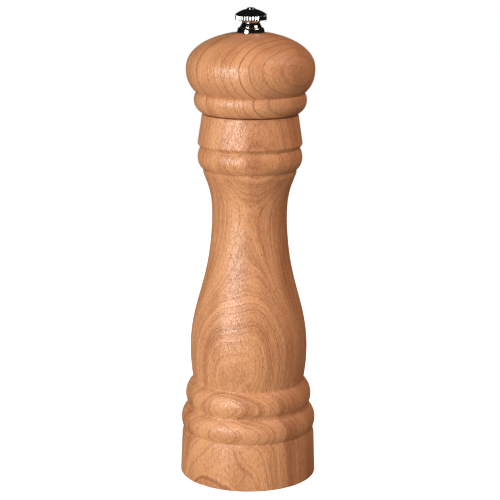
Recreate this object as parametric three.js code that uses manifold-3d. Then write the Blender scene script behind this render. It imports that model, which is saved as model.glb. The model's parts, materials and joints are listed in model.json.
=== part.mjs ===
// A turned wooden pepper mill with a steel burr mechanism and a chrome adjusting knob.
// Millimetres, +Z up. The origin is the middle of the underside, where the mill stands.
// Turning the head turns the shaft and the rotor. The knob on top draws the shaft up, so
// that the rotor rises into the stator and the grind becomes finer.
import * as THREE from 'three';
import { mergeVertices } from 'three/addons/utils/BufferGeometryUtils.js';
import Module from 'manifold-3d';

const wasm = await Module();
wasm.setup();

// ---------------------------------------------------------------- driving dimensions

const HEIGHT = 203.2;            // eight inches, from the table to the top of the button
const FULL_TURN = 2 * Math.PI;
const WOOD_SEGMENTS = 40;        // facets round a turned wooden piece
const METAL_SEGMENTS = 24;       // facets round a small metal piece
const CLEARANCE = 0.3;           // left between pieces that touch on the real mill
const NEARLY = 0.01;             // how near a point counts as lying on a wall

// Outside of the wooden body, from the table up, as [radius, height].
const FOOT_EDGE = 0.3;
const FOOT = [29.65, FOOT_EDGE];
const BAND_TOP = [29.0, 17.8];
const BAND_GROOVE = [28.35, 20.5];
const LOW_BEAD = [29.34, 24.7];
const BETWEEN_BEADS_LOW = [26.65, 30.5];
const BETWEEN_BEADS_HIGH = [26.6, 31.9];
const HIGH_BEAD = [27.4, 35.5];
const HIGH_BEAD_END = [24.3, 42.2];
const BELLY_START = [24.3, 43.4];
const BELLY = [25.37, 56.5];
const WAIST = [16.13, 116.3];
const NECK_TOP = [19.85, 133.5];
const LIP_START = [20.0, 135.0];
const LIP = [22.3, 140.0];
const LIP_GROOVE = [21.2, 144.3];
const LIP_CORNER = [22.35, 146.0];
const RIM = [20.5, 158.6];
const RIM_EDGE = 0.3;

// How strongly the long curve of the belly and neck leaves its ends, as [radius, height].
const BELLY_PULL = [0, 21.2];
const WAIST_PULL_BELOW = [0, 30.8];
const WAIST_PULL_ABOVE = [0, 10.0];
const NECK_PULL = [0.9, 3.3];

// Inside of the wooden body.
const RECESS_RADIUS = 20.3;      // open underside, where the pepper falls out
const RECESS_TOP = 10.6;
const BARREL_BORE = 15.3;        // takes the stator's barrel and the bridge
const LEDGE = 29.0;
const CHAMBER_RADIUS = 12.5;     // holds the peppercorns
const MOUTH_RADIUS = 15.0;       // takes the head's tenon
const MOUTH_FLOOR = 149.0;

// Outside and inside of the wooden head.
const COLLAR_START = [20.4, RIM[1] + 0.4];
const COLLAR = [23.93, 164.6];
const COLLAR_END = [23.35, 167.2];
const HEAD_NOTCH = [22.7, 167.5];
const DOME_START = [23.1, 167.8];
const DOME_SIDE = [27.25, 177.0];
const BROW_HEIGHT = 178.26;
const BROW_RISE = 14.93;         // upright half-axis of the dome's elliptical top
const CROWN_RADIUS = 8.0;        // flat spot under the ferrule
const TENON_RADIUS = 14.6;
const TENON_END = 150.4;
const HEAD_BORE = 4.7;

// Shaft: a six millimetre square bar, threaded at both ends.
const SHAFT_HALF = 3.0;
const SHAFT_LOW = 7.4;
const SHAFT_HIGH = 187.6;
const STUB_RADIUS = 2.4;
const STUB_TOP = 198.3;
const STUD_RADIUS = 2.0;
const STUD_END = 2.6;
const SQUARE_HOLE_HALF = SHAFT_HALF + CLEARANCE;
const SHAFT_CLEAR_RADIUS = 4.6;  // round hole that the square bar turns in

// Burrs: the rotor turns in the stator, and both have teeth.
const TEETH = 24;
const FACETS_PER_TOOTH = 3;
const TOOTH_DEPTH = 0.5;
const TOOTH_CREST = 2 / 3;       // share of a tooth's pitch at which it is highest
const BURR_SLOPE = 0.383;        // radius lost for each millimetre of height
const STATOR_BOTTOM = 8.3;
const STATOR_MOUTH_RADIUS = 12.4;
const STATOR_BARREL_RADIUS = 15.0;
const STATOR_FLANGE_RADIUS = 19.6;
const STATOR_FLANGE_TOP = 10.3;
const STATOR_FINE_TOP = 13.0;
const STATOR_THROAT_TOP = 20.0;
const STATOR_TOP = 27.0;
const STATOR_FUNNEL_RADIUS = 12.3;
const ROTOR_BOTTOM = 7.0;
const ROTOR_RADIUS = 11.8;
const ROTOR_FINE_TOP = 11.7;
const ROTOR_TOP = 17.5;
const ROTOR_TOP_RADIUS = 6.9;
const FLUTES = 8;
const FLUTE_DEPTH = 1.9;
const FLUTE_RUN_IN = 1 / 3;      // share of the crusher's height over which a flute deepens
const FLUTE_TOP_LOSS = 0.5;      // share of its depth that a flute has lost at the top
const FLUTE_TWIST = 0.07;        // flute pitches that a flute leans for each millimetre of height
const CRUSHER_LOW_PULL = [0, 1.5];
const CRUSHER_TOP_PULL = [-1.2, 1.5];

// Fixings and spring under and above the burrs.
const SQUARE_WASHER_THICKNESS = 0.8;   // spring seat and thrust washer
const SEAT_RADIUS = 6.6;
const THRUST_WASHER_TOP = STATOR_TOP;
const SPRING_RADIUS = 5.6;
const SPRING_WIRE_RADIUS = 0.45;
const SPRING_TURNS = 4.5;
const SPRING_STEPS_PER_TURN = 12;
const SPRING_WIRE_FACETS = 6;
const ROTOR_WASHER_RADIUS = 6.2;
const ROTOR_WASHER_TOP = ROTOR_BOTTOM - CLEARANCE;
const ROTOR_WASHER_THICKNESS = 0.8;
const ROTOR_NUT_HALF = 3.5;
const ROTOR_NUT_HEIGHT = 2.3;
const STUD_HOLE_RADIUS = STUD_RADIUS + CLEARANCE;

// Bridge: a ring with a hub on two arms, which holds the spring down and the shaft upright.
const BRIDGE_THICKNESS = 1.4;
const BRIDGE_RING_RADIUS = 12.6;
const BRIDGE_HUB_RADIUS = 7.2;
const BRIDGE_ARM_HALF = 2.6;

// Screws that hold the stator to the body, and the drive plate to the head.
const SCREW_COUNT = 3;
const SCREW_CIRCLE = 17.5;
const SCREW_HEAD_RADIUS = 2.3;
const SCREW_HEAD_FLAT = 1.725;   // radius of the head's flat face
const SCREW_HEAD_HEIGHT = 1.1;
const SCREW_HEAD_BEVEL = 0.55;
const SCREW_SHANK_RADIUS = 1.2;
const SCREW_LENGTH = 8.6;
const SCREW_HOLE_RADIUS = SCREW_SHANK_RADIUS + CLEARANCE;
const SCREW_FACETS = 12;
const PLATE_RADIUS = 12.0;
const PLATE_THICKNESS = 0.9;
const PLATE_SCREW_CIRCLE = 8.5;

// Knob on top, from the ferrule up.
const FERRULE_BOTTOM = 190.9;
const FERRULE_TUBE_RADIUS = 4.4;
const FERRULE_SEAT = 192.65;
const FERRULE_FLANGE_RADIUS = 5.9;
const FERRULE_TOP_RADIUS = 5.5;
const FERRULE_TOP = 194.8;
const FERRULE_EDGE = 0.35;
const FERRULE_HOLE_RADIUS = 2.8;
const NUT_BOTTOM = FERRULE_TOP + CLEARANCE;
const NUT_TOP = 199.7;
const NUT_FLARE_RADIUS = 4.6;
const NUT_FLARE_EDGE = 0.25;      // upright rim under the flare
const NUT_WAIST = [3.65, 196.9];
const NUT_SHOULDER = [4.05, 197.7];
const NUT_RING_RADIUS = 6.65;
const NUT_RING_BOTTOM = 197.95;
const NUT_RING_BEVEL = [0.5, 0.2];
const NUT_BORE_RADIUS = STUB_RADIUS + CLEARANCE;
const NUT_RIBS = 36;
const NUT_RIB_DEPTH = 0.4;
const CAP_BOTTOM = NUT_TOP + CLEARANCE;
const CAP_EDGE = [6.8, 200.15];
const CAP_TOP = [1.9, 202.2];
const CAP_EDGE_PULL = [-1.5, 1.15];
const CAP_TOP_PULL = [-1.3, 0.1];
const CAP_CAVITY = [3.0, 200.9];
const CAP_RIM_WIDTH = 1.0;
const RIVET_HOLE_RADIUS = 1.1;
const RIVET_RADIUS = 0.8;
const BUTTON_RADIUS = 1.87;
const BUTTON_SIDE_TOP = HEIGHT - 0.55;
const BUTTON_BROW = [0.72 * BUTTON_RADIUS, HEIGHT - 0.14];

const MATERIALS = {
  wood: { color: 0xc98558, roughness: 0.5, metalness: 0 },
  chrome: { color: 0xd8dadd, roughness: 0.08, metalness: 1 },
  burrSteel: { color: 0x77787a, roughness: 0.4, metalness: 1 },
  zincSteel: { color: 0xb4b6b8, roughness: 0.35, metalness: 1 },
  springSteel: { color: 0x8f9194, roughness: 0.3, metalness: 1 },
  aluminium: { color: 0xc3c5c8, roughness: 0.4, metalness: 1 },
};

// ---------------------------------------------------------------- outline helpers

// A circular arc from a crest, where the outline stands upright, to `end`. The crest may
// be the widest or the narrowest place of the outline.
function crestArc(crest, end, steps) {
  const inset = crest[0] - end[0];
  const rise = end[1] - crest[1];
  const bend = (inset * inset + rise * rise) / (2 * inset);
  const sweep = Math.asin(rise / Math.abs(bend));
  return Array.from({ length: steps + 1 }, (_, step) => {
    const angle = sweep * step / steps;
    const radius = crest[0] - bend * (1 - Math.cos(angle));
    return [radius, crest[1] + Math.abs(bend) * Math.sin(angle)];
  });
}

// A rounded bead: an arc up to its crest and another one away from it.
function bead(start, crest, end, steps) {
  const below = crestArc(crest, start, steps).reverse();
  const above = crestArc(crest, end, steps).slice(1);
  return [...below, ...above];
}

// A smooth curve that leaves `start` and reaches `end` with the given pulls.
function longCurve(start, startPull, end, endPull, steps) {
  const controls = [
    start,
    [start[0] + startPull[0], start[1] + startPull[1]],
    [end[0] - endPull[0], end[1] - endPull[1]],
    end,
  ].map(([radius, height]) => new THREE.Vector2(radius, height));
  const curve = new THREE.CubicBezierCurve(...controls);
  return curve.getPoints(steps).map((point) => [point.x, point.y]);
}

// The elliptical top of the head, from its brow to the flat spot under the ferrule.
function domeTop(steps) {
  const browRadius = DOME_SIDE[0];
  const lastAngle = Math.acos(CROWN_RADIUS / browRadius);
  return Array.from({ length: steps + 1 }, (_, step) => {
    const angle = lastAngle * step / steps;
    return [browRadius * Math.cos(angle), BROW_HEIGHT + BROW_RISE * Math.sin(angle)];
  });
}

// ---------------------------------------------------------------- solid helpers

// A solid turned about Z. The outline starts and ends on the axis, or is closed here.
function turned(outline, segments = METAL_SEGMENTS) {
  const points = outline.map(([radius, height]) => new THREE.Vector2(radius, height));
  if (outline[0][0] > 0) {
    points.push(points[0].clone());
  }
  const geometry = new THREE.LatheGeometry(points, segments);
  geometry.rotateX(Math.PI / 2);
  return geometry;
}

// Moves every point of a turned solid to the radius that `radiusAt` gives it.
function reshape(geometry, radiusAt) {
  const position = geometry.attributes.position;
  const point = new THREE.Vector3();
  for (let index = 0; index < position.count; index += 1) {
    point.fromBufferAttribute(position, index);
    const radius = Math.hypot(point.x, point.y);
    if (radius > 0) {
      const angle = Math.atan2(point.y, point.x);
      const scale = radiusAt(radius, angle, point.z) / radius;
      position.setXY(index, point.x * scale, point.y * scale);
    }
  }
  return geometry;
}

// Distance from the centre of a regular polygon to its side, in the direction `angle`.
function polygonRadius(half, sides, angle) {
  const pitch = FULL_TURN / sides;
  const fromSide = (((angle + pitch / 2) % pitch) + pitch) % pitch - pitch / 2;
  return half / Math.cos(fromSide);
}

// One tooth over a phase of 1: a long rise to 1 and a short fall back to 0.
function tooth(phase) {
  const place = phase - Math.floor(phase);
  return place < TOOTH_CREST ? place / TOOTH_CREST : (1 - place) / (1 - TOOTH_CREST);
}

// A turned solid whose innermost wall is the square hole that the shaft fits.
function squareBored(outline, segments, outerRadius = (radius) => radius) {
  return reshape(turned(outline, segments), (radius, angle, height) => (
    radius < SQUARE_HOLE_HALF + NEARLY
      ? polygonRadius(SQUARE_HOLE_HALF, 4, angle)
      : outerRadius(radius, angle, height)
  ));
}

function toManifold(geometry) {
  const bare = geometry.index ? geometry.clone() : mergeVertices(geometry);
  bare.deleteAttribute('normal');
  bare.deleteAttribute('uv');
  const merged = mergeVertices(bare, 1e-4);
  return new wasm.Manifold(new wasm.Mesh({
    numProp: 3,
    vertProperties: new Float32Array(merged.attributes.position.array),
    triVerts: new Uint32Array(merged.index.array),
  }));
}

// Cuts upright round holes out of a solid.
function drilled(geometry, holes, radius, bottom, top) {
  let solid = toManifold(geometry);
  for (const [x, y] of holes) {
    const drill = new THREE.CylinderGeometry(radius, radius, top - bottom, SCREW_FACETS);
    drill.rotateX(Math.PI / 2);
    drill.translate(x, y, (top + bottom) / 2);
    solid = solid.subtract(toManifold(drill));
  }
  const mesh = solid.getMesh();
  const result = new THREE.BufferGeometry();
  result.setAttribute('position', new THREE.BufferAttribute(mesh.vertProperties, 3));
  result.setIndex(new THREE.BufferAttribute(mesh.triVerts, 1));
  return result;
}

// Places of `count` holes on a circle.
function holeCircle(count, radius) {
  return Array.from({ length: count }, (_, index) => {
    const angle = FULL_TURN * index / count;
    return [radius * Math.cos(angle), radius * Math.sin(angle)];
  });
}

// A flat plate with holes, standing on the height `bottom`.
function plate(shape, holes, bottom, thickness) {
  shape.holes.push(...holes);
  const geometry = new THREE.ExtrudeGeometry(shape, {
    depth: thickness, bevelEnabled: false, curveSegments: METAL_SEGMENTS / 2,
  });
  geometry.translate(0, 0, bottom);
  return geometry;
}

function circlePath(x, y, radius) {
  const path = new THREE.Path();
  path.absarc(x, y, radius, 0, FULL_TURN, true);
  return path;
}

function disc(radius) {
  const shape = new THREE.Shape();
  shape.absarc(0, 0, radius, 0, FULL_TURN, false);
  return shape;
}

const mill = new THREE.Group();

function addPiece(name, geometry, material) {
  const mesh = new THREE.Mesh(geometry, new THREE.MeshStandardMaterial(material));
  mesh.name = name;
  mill.add(mesh);
  return mesh;
}

// ---------------------------------------------------------------- wooden body and head

const STATOR_SCREWS = holeCircle(SCREW_COUNT, SCREW_CIRCLE);
const PLATE_SCREWS = holeCircle(2, PLATE_SCREW_CIRCLE);
const STATOR_SCREW_BOTTOM = STATOR_BOTTOM - CLEARANCE - SCREW_HEAD_HEIGHT;
const PLATE_BOTTOM = TENON_END - CLEARANCE - PLATE_THICKNESS;
const PLATE_SCREW_BOTTOM = PLATE_BOTTOM - CLEARANCE - SCREW_HEAD_HEIGHT;

function addBody() {
  const outside = [
    [FOOT[0] - FOOT_EDGE, 0],
    FOOT,
    BAND_TOP,
    ...bead(BAND_GROOVE, LOW_BEAD, BETWEEN_BEADS_LOW, 3),
    ...bead(BETWEEN_BEADS_HIGH, HIGH_BEAD, HIGH_BEAD_END, 3),
    ...crestArc(BELLY, BELLY_START, 2).reverse(),
    ...longCurve(BELLY, BELLY_PULL, WAIST, WAIST_PULL_BELOW, 8).slice(1),
    ...longCurve(WAIST, WAIST_PULL_ABOVE, NECK_TOP, NECK_PULL, 4).slice(1),
    ...bead(LIP_START, LIP, LIP_GROOVE, 3),
    LIP_CORNER,
    [RIM[0], RIM[1] - RIM_EDGE],
    [RIM[0] - RIM_EDGE, RIM[1]],
  ];
  const inside = [
    [MOUTH_RADIUS, RIM[1]],
    [MOUTH_RADIUS, MOUTH_FLOOR],
    [CHAMBER_RADIUS, MOUTH_FLOOR],
    [CHAMBER_RADIUS, LEDGE],
    [BARREL_BORE, LEDGE],
    [BARREL_BORE, RECESS_TOP],
    [RECESS_RADIUS, RECESS_TOP],
    [RECESS_RADIUS, 0],
  ];
  const blank = turned([...outside, ...inside], WOOD_SEGMENTS);
  const holeEnd = STATOR_SCREW_BOTTOM + SCREW_LENGTH + CLEARANCE;
  const body = drilled(blank, STATOR_SCREWS, SCREW_HOLE_RADIUS, STATOR_BOTTOM, holeEnd);
  addPiece('mill_body', body, MATERIALS.wood);
}

function addHead() {
  const outside = [
    [TENON_RADIUS, TENON_END],
    [TENON_RADIUS, COLLAR_START[1]],
    ...bead(COLLAR_START, COLLAR, COLLAR_END, 3),
    HEAD_NOTCH,
    ...crestArc(DOME_SIDE, DOME_START, 4).reverse(),
    ...domeTop(8),
  ];
  const crownHeight = outside.at(-1)[1];
  const blank = turned([
    [HEAD_BORE, TENON_END],
    ...outside,
    [HEAD_BORE, crownHeight],
  ], WOOD_SEGMENTS);
  const holeEnd = PLATE_SCREW_BOTTOM + SCREW_LENGTH + CLEARANCE;
  const head = drilled(blank, PLATE_SCREWS, SCREW_HOLE_RADIUS, PLATE_BOTTOM, holeEnd);
  addPiece('head', head, MATERIALS.wood);
}

// ---------------------------------------------------------------- burrs

function addStator() {
  const outline = [
    [STATOR_MOUTH_RADIUS, STATOR_BOTTOM],
    [STATOR_FLANGE_RADIUS, STATOR_BOTTOM],
    [STATOR_FLANGE_RADIUS, STATOR_FLANGE_TOP],
    [STATOR_BARREL_RADIUS, STATOR_FLANGE_TOP],
    [STATOR_BARREL_RADIUS, STATOR_TOP],
    [STATOR_FUNNEL_RADIUS, STATOR_TOP],
  ];
  const throatRadius = STATOR_MOUTH_RADIUS - BURR_SLOPE * (STATOR_FINE_TOP - STATOR_BOTTOM);
  outline.push([throatRadius, STATOR_THROAT_TOP], [throatRadius, STATOR_FINE_TOP]);
  const blank = turned(outline, TEETH * FACETS_PER_TOOTH);
  const toothed = reshape(blank, (radius, angle) => (
    radius <= STATOR_MOUTH_RADIUS
      ? radius + TOOTH_DEPTH * tooth(TEETH * angle / FULL_TURN)
      : radius
  ));
  const stator = drilled(toothed, STATOR_SCREWS, SCREW_HOLE_RADIUS, 0, LEDGE);
  addPiece('stator', stator, MATERIALS.burrSteel);
}

function addRotor() {
  const fineTopRadius = ROTOR_RADIUS - BURR_SLOPE * (ROTOR_FINE_TOP - ROTOR_BOTTOM);
  const crusher = longCurve(
    [fineTopRadius, ROTOR_FINE_TOP], CRUSHER_LOW_PULL,
    [ROTOR_TOP_RADIUS, ROTOR_TOP], CRUSHER_TOP_PULL, 4,
  );
  const outline = [
    [SQUARE_HOLE_HALF, ROTOR_BOTTOM],
    [ROTOR_RADIUS, ROTOR_BOTTOM],
    ...crusher,
    [SQUARE_HOLE_HALF, ROTOR_TOP],
  ];
  const grooved = (radius, angle, height) => {
    if (height < ROTOR_FINE_TOP + NEARLY) {
      return radius - TOOTH_DEPTH * tooth(TEETH * angle / FULL_TURN);
    }
    const turnsUp = FLUTE_TWIST * (height - ROTOR_FINE_TOP);
    const reach = (height - ROTOR_FINE_TOP) / (ROTOR_TOP - ROTOR_FINE_TOP);
    const depth = FLUTE_DEPTH * Math.min(1, reach / FLUTE_RUN_IN) * (1 - FLUTE_TOP_LOSS * reach);
    return radius - depth * tooth(FLUTES * angle / FULL_TURN + turnsUp);
  };
  const rotor = squareBored(outline, TEETH * FACETS_PER_TOOTH, grooved);
  addPiece('rotor', rotor, MATERIALS.burrSteel);
}

// ---------------------------------------------------------------- shaft and its fixings

function addShaft() {
  const shaft = turned([
    [0, STUD_END],
    [STUD_RADIUS, STUD_END],
    [STUD_RADIUS, SHAFT_LOW],
    [SHAFT_HALF, SHAFT_LOW],
    [SHAFT_HALF, SHAFT_HIGH],
    [STUB_RADIUS, SHAFT_HIGH],
    [STUB_RADIUS, STUB_TOP],
    [0, STUB_TOP],
  ]);
  const squared = reshape(shaft, (radius, angle) => (
    radius > SHAFT_HALF - NEARLY ? polygonRadius(SHAFT_HALF, 4, angle) : radius
  ));
  addPiece('drive_shaft', squared, MATERIALS.aluminium);
}

// A flat washer as an outline, from its hole outwards.
function washerOutline(holeRadius, radius, bottom, thickness) {
  return [
    [holeRadius, bottom],
    [radius, bottom],
    [radius, bottom + thickness],
    [holeRadius, bottom + thickness],
  ];
}

const SEAT_BOTTOM = ROTOR_TOP + CLEARANCE;
const THRUST_WASHER_BOTTOM = THRUST_WASHER_TOP - SQUARE_WASHER_THICKNESS;

function addWashersAndNut() {
  const squareWasher = (bottom) => squareBored(
    washerOutline(SQUARE_HOLE_HALF, SEAT_RADIUS, bottom, SQUARE_WASHER_THICKNESS),
    METAL_SEGMENTS,
  );
  addPiece('spring_seat', squareWasher(SEAT_BOTTOM), MATERIALS.zincSteel);
  addPiece('thrust_washer', squareWasher(THRUST_WASHER_BOTTOM), MATERIALS.zincSteel);

  const washerBottom = ROTOR_WASHER_TOP - ROTOR_WASHER_THICKNESS;
  const rotorWasher = turned(
    washerOutline(STUD_HOLE_RADIUS, ROTOR_WASHER_RADIUS, washerBottom, ROTOR_WASHER_THICKNESS),
  );
  addPiece('rotor_washer', rotorWasher, MATERIALS.zincSteel);

  const nutBottom = washerBottom - CLEARANCE - ROTOR_NUT_HEIGHT;
  const nutBlank = turned(
    washerOutline(STUD_HOLE_RADIUS, ROTOR_NUT_HALF, nutBottom, ROTOR_NUT_HEIGHT),
  );
  const nut = reshape(nutBlank, (radius, angle) => (
    radius > ROTOR_NUT_HALF - NEARLY ? polygonRadius(ROTOR_NUT_HALF, 6, angle) : radius
  ));
  addPiece('rotor_nut', nut, MATERIALS.zincSteel);
}

class Helix extends THREE.Curve {
  constructor(radius, bottom, top, turns) {
    super();
    Object.assign(this, { radius, bottom, top, turns });
  }

  getPoint(share) {
    const angle = FULL_TURN * this.turns * share;
    const height = this.bottom + (this.top - this.bottom) * share;
    return new THREE.Vector3(this.radius * Math.cos(angle), this.radius * Math.sin(angle), height);
  }
}

function addSpring() {
  const margin = CLEARANCE + SPRING_WIRE_RADIUS;
  const bottom = SEAT_BOTTOM + SQUARE_WASHER_THICKNESS + margin;
  const path = new Helix(SPRING_RADIUS, bottom, THRUST_WASHER_BOTTOM - margin, SPRING_TURNS);
  const wire = new THREE.ExtrudeGeometry(disc(SPRING_WIRE_RADIUS), {
    steps: SPRING_TURNS * SPRING_STEPS_PER_TURN,
    curveSegments: SPRING_WIRE_FACETS / 2,
    bevelEnabled: false,
    extrudePath: path,
  });
  addPiece('spring', wire, MATERIALS.springSteel);
}

// ---------------------------------------------------------------- bridge and drive plate

// The opening between the bridge's hub, its ring and its two arms, on one side.
function bridgeWindow(side) {
  const path = new THREE.Path();
  const outer = Math.asin(BRIDGE_ARM_HALF / BRIDGE_RING_RADIUS);
  const inner = Math.asin(BRIDGE_ARM_HALF / BRIDGE_HUB_RADIUS);
  const start = side > 0 ? 0 : Math.PI;
  path.absarc(0, 0, BRIDGE_RING_RADIUS, start + outer, start + Math.PI - outer, false);
  path.absarc(0, 0, BRIDGE_HUB_RADIUS, start + Math.PI - inner, start + inner, true);
  path.closePath();
  return path;
}

function addBridge() {
  const holes = [circlePath(0, 0, SHAFT_CLEAR_RADIUS), bridgeWindow(1), bridgeWindow(-1)];
  const bottom = STATOR_TOP + CLEARANCE;
  const bridge = plate(disc(STATOR_BARREL_RADIUS), holes, bottom, BRIDGE_THICKNESS);
  addPiece('bridge', bridge, MATERIALS.zincSteel);
}

function addDrivePlate() {
  const half = SQUARE_HOLE_HALF;
  const squareHole = new THREE.Path();
  squareHole.moveTo(-half, -half);
  squareHole.lineTo(-half, half);
  squareHole.lineTo(half, half);
  squareHole.lineTo(half, -half);
  squareHole.closePath();
  const screwHoles = PLATE_SCREWS.map(([x, y]) => circlePath(x, y, SCREW_HOLE_RADIUS));
  const holes = [squareHole, ...screwHoles];
  const drivePlate = plate(disc(PLATE_RADIUS), holes, PLATE_BOTTOM, PLATE_THICKNESS);
  addPiece('drive_plate', drivePlate, MATERIALS.aluminium);
}

// ---------------------------------------------------------------- screws

// A pan head screw that points up. Its place is the bottom of its head.
function addScrew(name, x, y, bottom) {
  const screw = turned([
    [0, 0],
    [SCREW_HEAD_FLAT, 0],
    [SCREW_HEAD_RADIUS, SCREW_HEAD_BEVEL],
    [SCREW_HEAD_RADIUS, SCREW_HEAD_HEIGHT],
    [SCREW_SHANK_RADIUS, SCREW_HEAD_HEIGHT],
    [SCREW_SHANK_RADIUS, SCREW_LENGTH - 2 * SCREW_SHANK_RADIUS],
    [0, SCREW_LENGTH],
  ], SCREW_FACETS);
  addPiece(name, screw, MATERIALS.zincSteel).position.set(x, y, bottom);
}

function addScrews() {
  STATOR_SCREWS.forEach(([x, y], index) => {
    addScrew(`stator_screw_${index + 1}`, x, y, STATOR_SCREW_BOTTOM);
  });
  PLATE_SCREWS.forEach(([x, y], index) => {
    addScrew(`drive_plate_screw_${index + 1}`, x, y, PLATE_SCREW_BOTTOM);
  });
}

// ---------------------------------------------------------------- knob

function addFerrule() {
  const ferrule = turned([
    [FERRULE_HOLE_RADIUS, FERRULE_BOTTOM],
    [FERRULE_TUBE_RADIUS, FERRULE_BOTTOM],
    [FERRULE_TUBE_RADIUS, FERRULE_SEAT],
    [FERRULE_FLANGE_RADIUS, FERRULE_SEAT],
    [FERRULE_TOP_RADIUS, FERRULE_TOP - FERRULE_EDGE],
    [FERRULE_TOP_RADIUS - FERRULE_EDGE, FERRULE_TOP],
    [FERRULE_HOLE_RADIUS, FERRULE_TOP],
  ]);
  addPiece('crown_ferrule', ferrule, MATERIALS.chrome);
}

function addAdjusterNut() {
  const outline = [
    [NUT_BORE_RADIUS, NUT_BOTTOM],
    [NUT_FLARE_RADIUS, NUT_BOTTOM],
    ...bead([NUT_FLARE_RADIUS, NUT_BOTTOM + NUT_FLARE_EDGE], NUT_WAIST, NUT_SHOULDER, 1),
    [NUT_RING_RADIUS, NUT_RING_BOTTOM],
    [NUT_RING_RADIUS, NUT_TOP - NUT_RING_BEVEL[1]],
    [NUT_RING_RADIUS - NUT_RING_BEVEL[0], NUT_TOP],
    [NUT_BORE_RADIUS, NUT_TOP],
  ];
  const blank = turned(outline, 2 * NUT_RIBS);
  const ribbed = reshape(blank, (radius, angle) => {
    const rib = 0.5 + 0.5 * Math.cos(NUT_RIBS * angle);
    return radius > NUT_RING_RADIUS - NEARLY ? radius - NUT_RIB_DEPTH * rib : radius;
  });
  addPiece('adjuster_nut', ribbed, MATERIALS.chrome);
}

function addCapAndButton() {
  const capDome = longCurve(CAP_EDGE, CAP_EDGE_PULL, CAP_TOP, CAP_TOP_PULL, 4);
  const cap = turned([
    [RIVET_HOLE_RADIUS, CAP_CAVITY[1]],
    CAP_CAVITY,
    [CAP_CAVITY[0], CAP_BOTTOM],
    [CAP_EDGE[0] - CAP_RIM_WIDTH, CAP_BOTTOM],
    ...capDome,
    [RIVET_HOLE_RADIUS, CAP_TOP[1]],
  ]);
  addPiece('knob_cap', cap, MATERIALS.chrome);

  const buttonBottom = CAP_TOP[1] + CLEARANCE;
  const button = turned([
    [0, CAP_CAVITY[1]],
    [RIVET_RADIUS, CAP_CAVITY[1]],
    [RIVET_RADIUS, buttonBottom],
    [BUTTON_RADIUS, buttonBottom],
    [BUTTON_RADIUS, BUTTON_SIDE_TOP],
    BUTTON_BROW,
    [0, HEIGHT],
  ]);
  addPiece('knob_button', button, MATERIALS.chrome);
}

addBody();
addStator();
addBridge();
addScrews();
addRotor();
addShaft();
addWashersAndNut();
addSpring();
addHead();
addDrivePlate();
addFerrule();
addAdjusterNut();
addCapAndButton();

export default mill;
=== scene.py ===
# %% [markdown]
# # A turned pepper mill
# The mill is two pieces of cherry wood turned on a lathe, with a chrome knob on top and
# a steel burr mechanism inside. The CAD model already holds every size and every moving
# part. This lesson puts a fine surface on each piece: it reads the outlines off the CAD
# solids, spins them again with many more facets, and builds each finish out of nodes.

# %% The frame
import json
import math

import bmesh
import bpy
from mathutils import Matrix, Vector

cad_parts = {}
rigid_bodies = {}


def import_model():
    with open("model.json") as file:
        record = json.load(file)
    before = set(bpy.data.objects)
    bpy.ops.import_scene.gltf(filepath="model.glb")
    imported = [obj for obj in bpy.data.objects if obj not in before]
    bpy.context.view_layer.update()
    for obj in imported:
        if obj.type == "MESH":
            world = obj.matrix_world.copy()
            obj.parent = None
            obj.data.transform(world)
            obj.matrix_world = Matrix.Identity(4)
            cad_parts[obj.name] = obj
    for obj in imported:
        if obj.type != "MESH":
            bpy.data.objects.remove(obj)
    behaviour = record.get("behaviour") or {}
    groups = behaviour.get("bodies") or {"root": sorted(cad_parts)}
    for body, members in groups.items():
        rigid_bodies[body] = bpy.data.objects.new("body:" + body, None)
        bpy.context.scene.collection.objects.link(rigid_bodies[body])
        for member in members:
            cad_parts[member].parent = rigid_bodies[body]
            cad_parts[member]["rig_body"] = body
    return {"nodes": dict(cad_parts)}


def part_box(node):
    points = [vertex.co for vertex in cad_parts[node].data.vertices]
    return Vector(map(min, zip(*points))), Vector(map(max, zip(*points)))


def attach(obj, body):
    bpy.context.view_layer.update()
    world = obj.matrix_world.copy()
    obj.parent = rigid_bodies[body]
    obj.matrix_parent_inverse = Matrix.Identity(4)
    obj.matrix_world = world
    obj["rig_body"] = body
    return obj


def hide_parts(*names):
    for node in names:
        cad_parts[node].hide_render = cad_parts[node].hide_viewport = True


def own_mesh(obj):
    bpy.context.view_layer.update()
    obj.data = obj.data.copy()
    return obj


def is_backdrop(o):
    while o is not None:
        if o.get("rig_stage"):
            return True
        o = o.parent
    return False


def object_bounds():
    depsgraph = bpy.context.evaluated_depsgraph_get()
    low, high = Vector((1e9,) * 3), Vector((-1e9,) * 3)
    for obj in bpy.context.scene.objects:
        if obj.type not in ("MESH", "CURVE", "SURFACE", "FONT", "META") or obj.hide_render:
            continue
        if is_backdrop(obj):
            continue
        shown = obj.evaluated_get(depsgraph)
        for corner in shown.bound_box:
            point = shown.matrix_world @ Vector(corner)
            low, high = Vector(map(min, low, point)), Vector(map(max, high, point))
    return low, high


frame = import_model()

# A new file holds a cube, a light and a camera that this scene does not use.
for item in list(bpy.data.objects):
    if item.name in ("Cube", "Light", "Camera"):
        bpy.data.objects.remove(item)

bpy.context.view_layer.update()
MM = 0.001
FULL_TURN = 2 * math.pi

# %% [markdown]
# ## Shader maths in plain Python
# A wood or metal finish is a long sum over the place on the surface. Wiring that sum by
# hand hides it, so one small class stands for a socket, and Python's own operators add
# the Math nodes. Every other node comes from one method, `node`, which takes the node's
# type, then its settings, then what goes into its sockets.

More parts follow.
